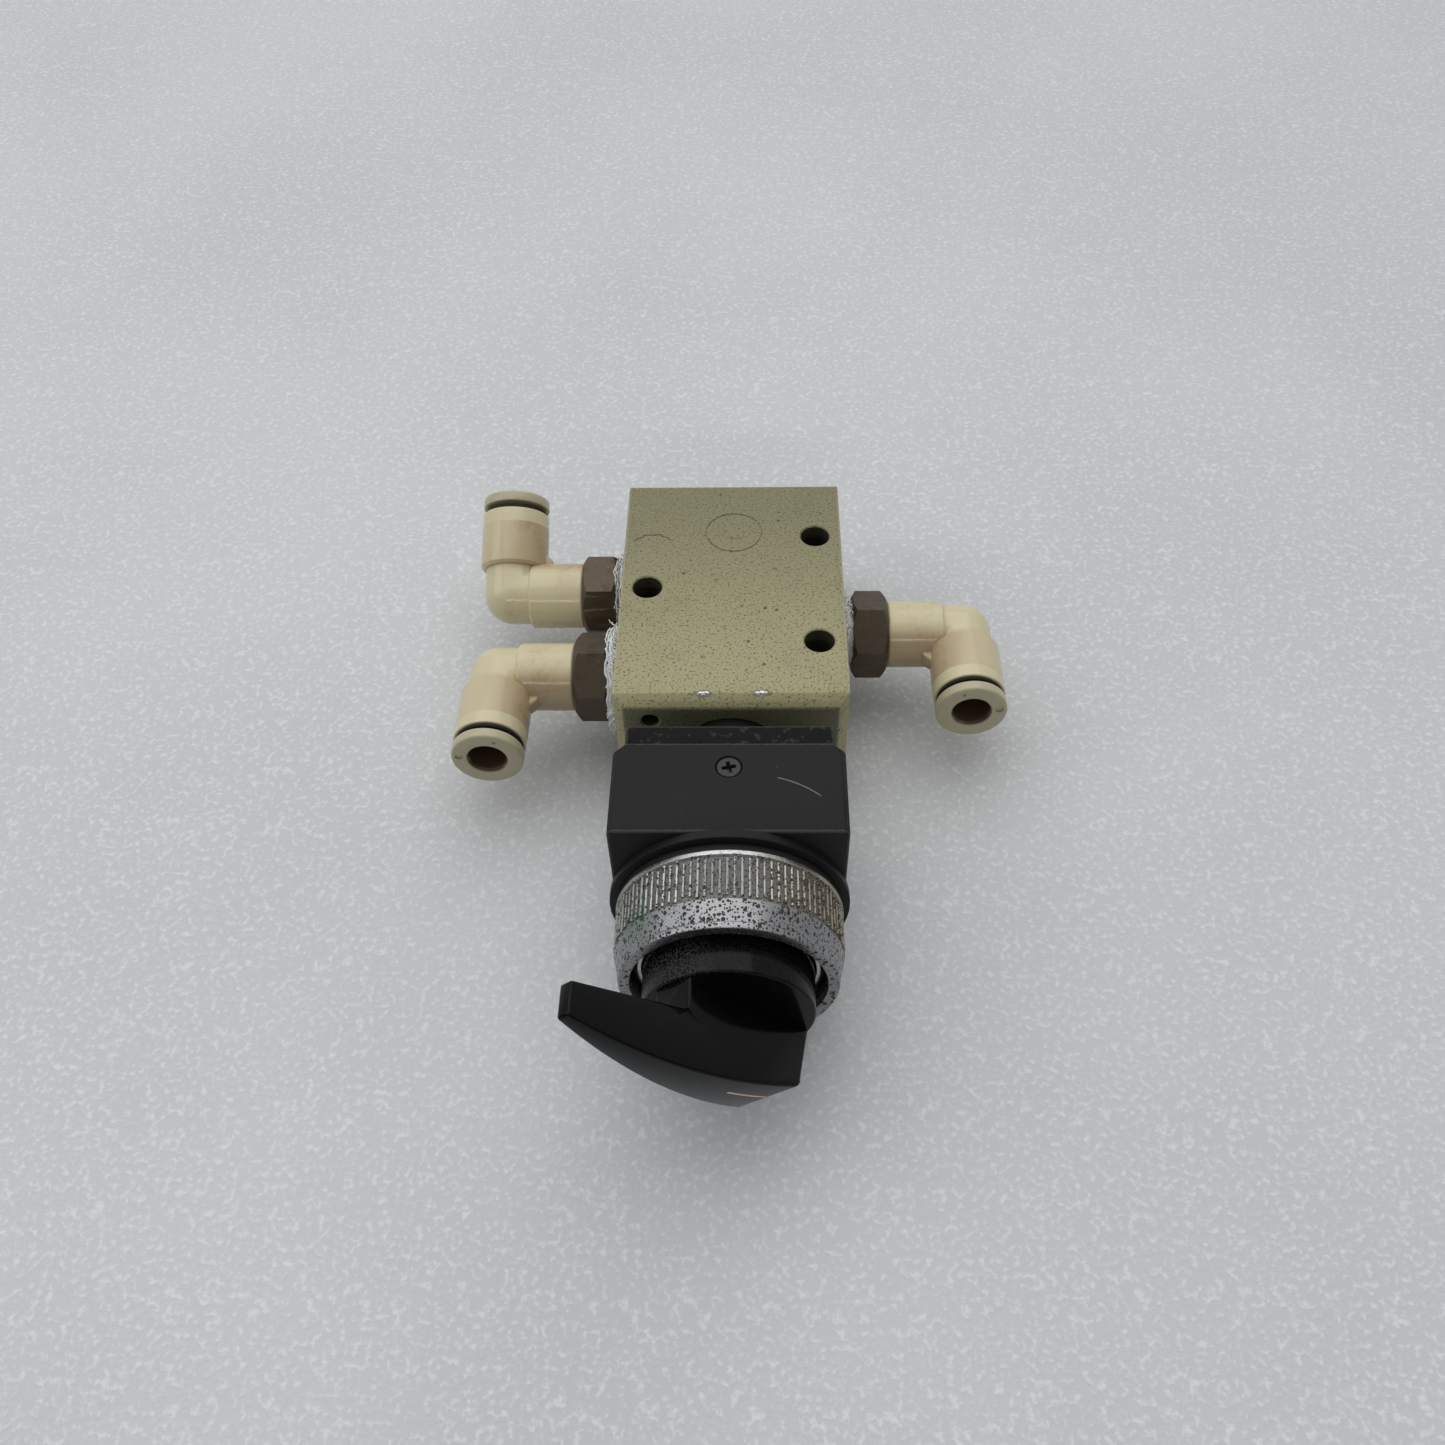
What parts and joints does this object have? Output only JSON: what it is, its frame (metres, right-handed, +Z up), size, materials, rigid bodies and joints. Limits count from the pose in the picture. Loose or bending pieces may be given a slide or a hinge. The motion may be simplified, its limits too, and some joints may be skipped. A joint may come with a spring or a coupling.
{
  "type": "hand selector valve",
  "caption": "Hand-operated pneumatic spool valve: block body, panel-mount twist selector with lever knob, and swivelling push-in elbows.",
  "frame": {"origin": "centre of the block's underside", "axes": "+Z up out of the block's top face, -Y towards the knob, +X towards the supply port"},
  "size_m": [0.0974, 0.1232, 0.0445],
  "materials": {
    "block_coat": "fine-speckled olive coat, satin, chipped to bare metal on the front edge",
    "black_plastic": "matt moulded plastic with fine dust and scuffs",
    "knob_plastic": "gloss moulded plastic with light scratches",
    "ring_chrome": "pitted and tarnished chrome plating",
    "bright_steel": "bright turned steel",
    "dark_steel": "darkened turned steel",
    "spool_aluminium": "ground and hard anodised",
    "stud_metal": "tarnished dark brown plating",
    "seal_rubber": "matt black rubber",
    "elbow_plastic": "aged ivory plastic with brown stains",
    "release_plastic": "aged ivory plastic",
    "inlay_cream": "flat cream inlay",
    "sealing_tape": "white fluoroplastic tape, torn and frayed"
  },
  "bodies": {
    "valve": {"valve_block": "block_coat", "rear_plug": "dark_steel", "rear_plug_seal": "seal_rubber", "rear_clip": "bright_steel", "return_spring": "bright_steel", "guide_collar": "black_plastic", "follower_seal": "seal_rubber", "head_adapter": "black_plastic", "head_housing": "black_plastic", "head_screw": "bright_steel", "panel_bushing": "black_plastic", "bezel_sleeve": "bright_steel", "panel_gasket": "seal_rubber", "ring_nut": "ring_chrome", "detent_spring": "bright_steel", "stud_supply": "stud_metal", "stud_rear": "stud_metal", "stud_front": "stud_metal", "tape_supply": "sealing_tape", "tape_rear": "sealing_tape", "tape_front": "sealing_tape", "swivel_seal_supply": "seal_rubber", "swivel_seal_rear": "seal_rubber", "swivel_seal_front": "seal_rubber"},
    "knob": {"knob_lever": "knob_plastic", "pointer_inlay": "inlay_cream", "knob_shaft": "bright_steel", "knob_seal": "seal_rubber", "shaft_clip": "bright_steel", "selector_cam": "bright_steel"},
    "spool_set": {"spool": "spool_aluminium", "spool_seals": "seal_rubber", "cam_follower": "bright_steel"},
    "supply_elbow": {"elbow_supply": "elbow_plastic", "tube_seal_supply": "seal_rubber", "chuck_supply": "bright_steel", "guide_ring_supply": "black_plastic"},
    "supply_release": {"release_supply": "release_plastic"},
    "rear_elbow": {"elbow_rear": "elbow_plastic", "tube_seal_rear": "seal_rubber", "chuck_rear": "bright_steel", "guide_ring_rear": "black_plastic"},
    "rear_release": {"release_rear": "release_plastic"},
    "front_elbow": {"elbow_front": "elbow_plastic", "tube_seal_front": "seal_rubber", "chuck_front": "bright_steel", "guide_ring_front": "black_plastic"},
    "front_release": {"release_front": "release_plastic"}
  },
  "joints": [
    {"name": "knob_turn", "type": "hinge", "parent": "valve", "child": "knob", "pos_m": [0, -0.06, 0.0125], "axis": [0, 1, 0], "range_deg": [0, 90]},
    {"name": "spool_slide", "type": "slide", "parent": "valve", "child": "spool_set", "axis": [0, 1, 0], "range_m": [0, 0.0036], "deforming": ["return_spring"]},
    {"name": "supply_swivel", "type": "hinge", "parent": "valve", "child": "supply_elbow", "pos_m": [0.0315, 0, 0.0125], "axis": [1, 0, 0], "continuous": true},
    {"name": "supply_press", "type": "slide", "parent": "supply_elbow", "child": "supply_release", "axis": [0, 1, 0], "range_m": [0, 0.00065], "stiffness_N_per_m": 1500},
    {"name": "rear_swivel", "type": "hinge", "parent": "valve", "child": "rear_elbow", "pos_m": [-0.0315, 0.0105, 0.0125], "axis": [1, 0, 0], "range_deg": [-90, 80]},
    {"name": "rear_press", "type": "slide", "parent": "rear_elbow", "child": "rear_release", "axis": [0, -0.8829, -0.4695], "range_m": [0, 0.00065], "stiffness_N_per_m": 1500},
    {"name": "front_swivel", "type": "hinge", "parent": "valve", "child": "front_elbow", "pos_m": [-0.0315, -0.0105, 0.0125], "axis": [1, 0, 0], "range_deg": [-90, 90]},
    {"name": "front_press", "type": "slide", "parent": "front_elbow", "child": "front_release", "axis": [0, 1, 0], "range_m": [0, 0.00065], "stiffness_N_per_m": 1500}
  ],
  "couplings": [
    {"joint": "spool_slide", "follows": "knob_turn", "m_per_rad": 0.0022918}
  ]
}
